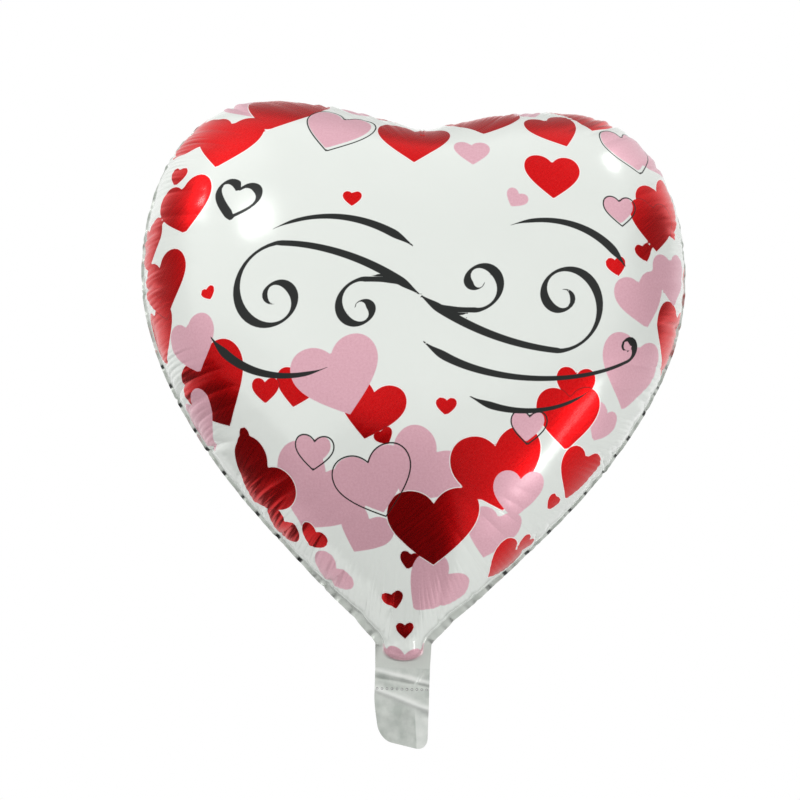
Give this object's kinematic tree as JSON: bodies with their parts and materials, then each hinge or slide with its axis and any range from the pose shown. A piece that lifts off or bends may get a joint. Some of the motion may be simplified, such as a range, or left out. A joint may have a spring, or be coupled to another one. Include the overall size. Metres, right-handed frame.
{
  "type": "heart-shaped foil balloon",
  "caption": "Inflated heart-shaped foil balloon: two welded printed films, a seam margin, a flat folding tail with a tear-off tab and an inner self-closing valve.",
  "frame": {"origin": "on the neck's fold line, midway between the front and back films and midway across the tail, where the ribbon is knotted or a stick's cup grips", "axes": "+Z from the neck up to the lobes, -Y out of the front film, +X to the viewer's right when looking at the front"},
  "size_m": [0.392, 0.19, 0.461],
  "materials": {
    "printed_film": "gloss",
    "bare_film": "satin",
    "valve_film": "satin"
  },
  "bodies": {
    "chamber": {"front_panel": "printed_film", "back_panel": "printed_film"},
    "neck": {"neck_front_ply": "bare_film", "neck_back_ply": "bare_film"},
    "tab": {"tab_front_ply": "bare_film", "tab_back_ply": "bare_film"},
    "valve_front": {"valve_front_ply": "valve_film"},
    "valve_back": {"valve_back_ply": "valve_film"}
  },
  "joints": [
    {"name": "tail_bend", "type": "hinge", "parent": "chamber", "child": "neck", "pos_m": [0, 0, 0], "axis": [1, 0, 0], "range_deg": [-90, 90]},
    {"name": "tab_fold", "type": "hinge", "parent": "neck", "child": "tab", "pos_m": [0, 0, -0.014], "axis": [1, 0, 0], "range_deg": [-60, 60]},
    {"name": "valve_front_open", "type": "hinge", "parent": "chamber", "child": "valve_front", "pos_m": [0, 0, 0.0066], "axis": [1, 0, 0], "range_deg": [0, 3], "stiffness_Nm_per_rad": 0.0005, "springref_deg": -5},
    {"name": "valve_back_open", "type": "hinge", "parent": "chamber", "child": "valve_back", "pos_m": [0, 0, 0.0066], "axis": [1, 0, 0], "range_deg": [-3, 0]}
  ],
  "couplings": [
    {"joint": "valve_back_open", "follows": "valve_front_open", "ratio": -1}
  ]
}
